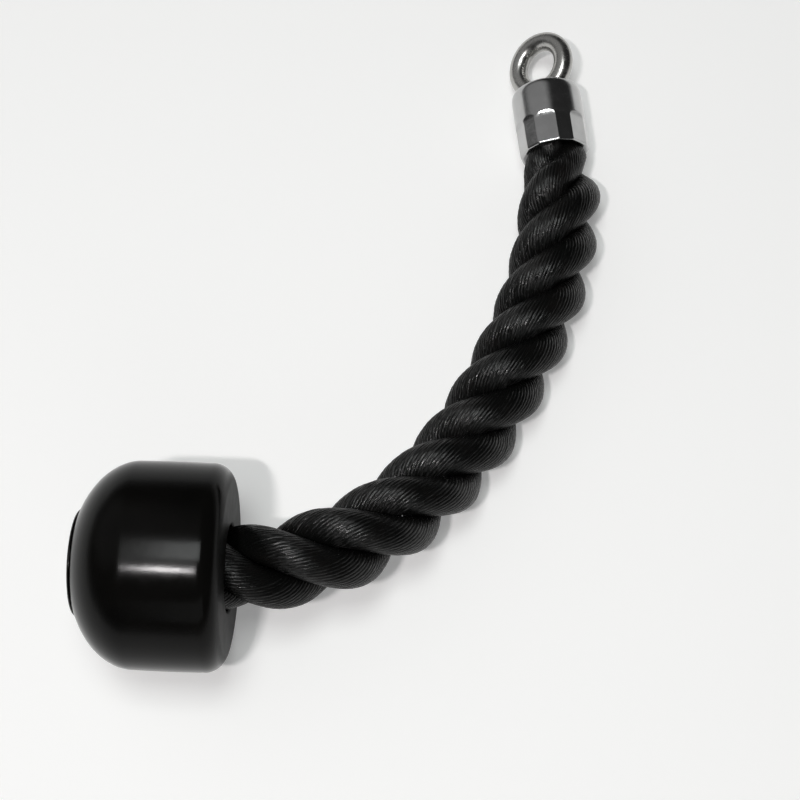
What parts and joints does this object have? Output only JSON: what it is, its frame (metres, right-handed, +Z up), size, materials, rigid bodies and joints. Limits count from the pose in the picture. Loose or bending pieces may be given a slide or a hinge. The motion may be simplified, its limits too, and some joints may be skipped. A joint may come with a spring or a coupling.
{
  "type": "triceps rope attachment",
  "caption": "Cable machine rope attachment: a laid black rope bent in a curve, with a domed rubber end cap and a crimped ferrule that carries a swivelling eye.",
  "frame": {"origin": "middle of the bounding box's lowest level: the surface that the attachment lies on", "axes": "+Z up, +X out of the end cap's flat inner face along the cap's axis, +Y the way the eye end lies"},
  "size_m": [0.1768, 0.2556, 0.07],
  "materials": {
    "rope": "glossy black filament yarn",
    "rubber": "satin black",
    "chrome": "bright",
    "plated_steel": "dull zinc plate"
  },
  "bodies": {
    "rope_end": {"strand_1": "rope", "strand_2": "rope", "strand_3": "rope", "end_cap": "rubber", "cap_plug": "rubber", "cap_collar": "plated_steel", "ferrule": "chrome", "swivel_plate": "plated_steel"},
    "eye": {"eye_bolt": "chrome", "thrust_washer": "plated_steel", "lock_nut": "plated_steel"}
  },
  "joints": [
    {"name": "eye_swivel", "type": "hinge", "parent": "rope_end", "child": "eye", "pos_m": [0.06874, 0.09706, 0.01328], "axis": [-0.1547, 0.988, 0], "continuous": true}
  ]
}
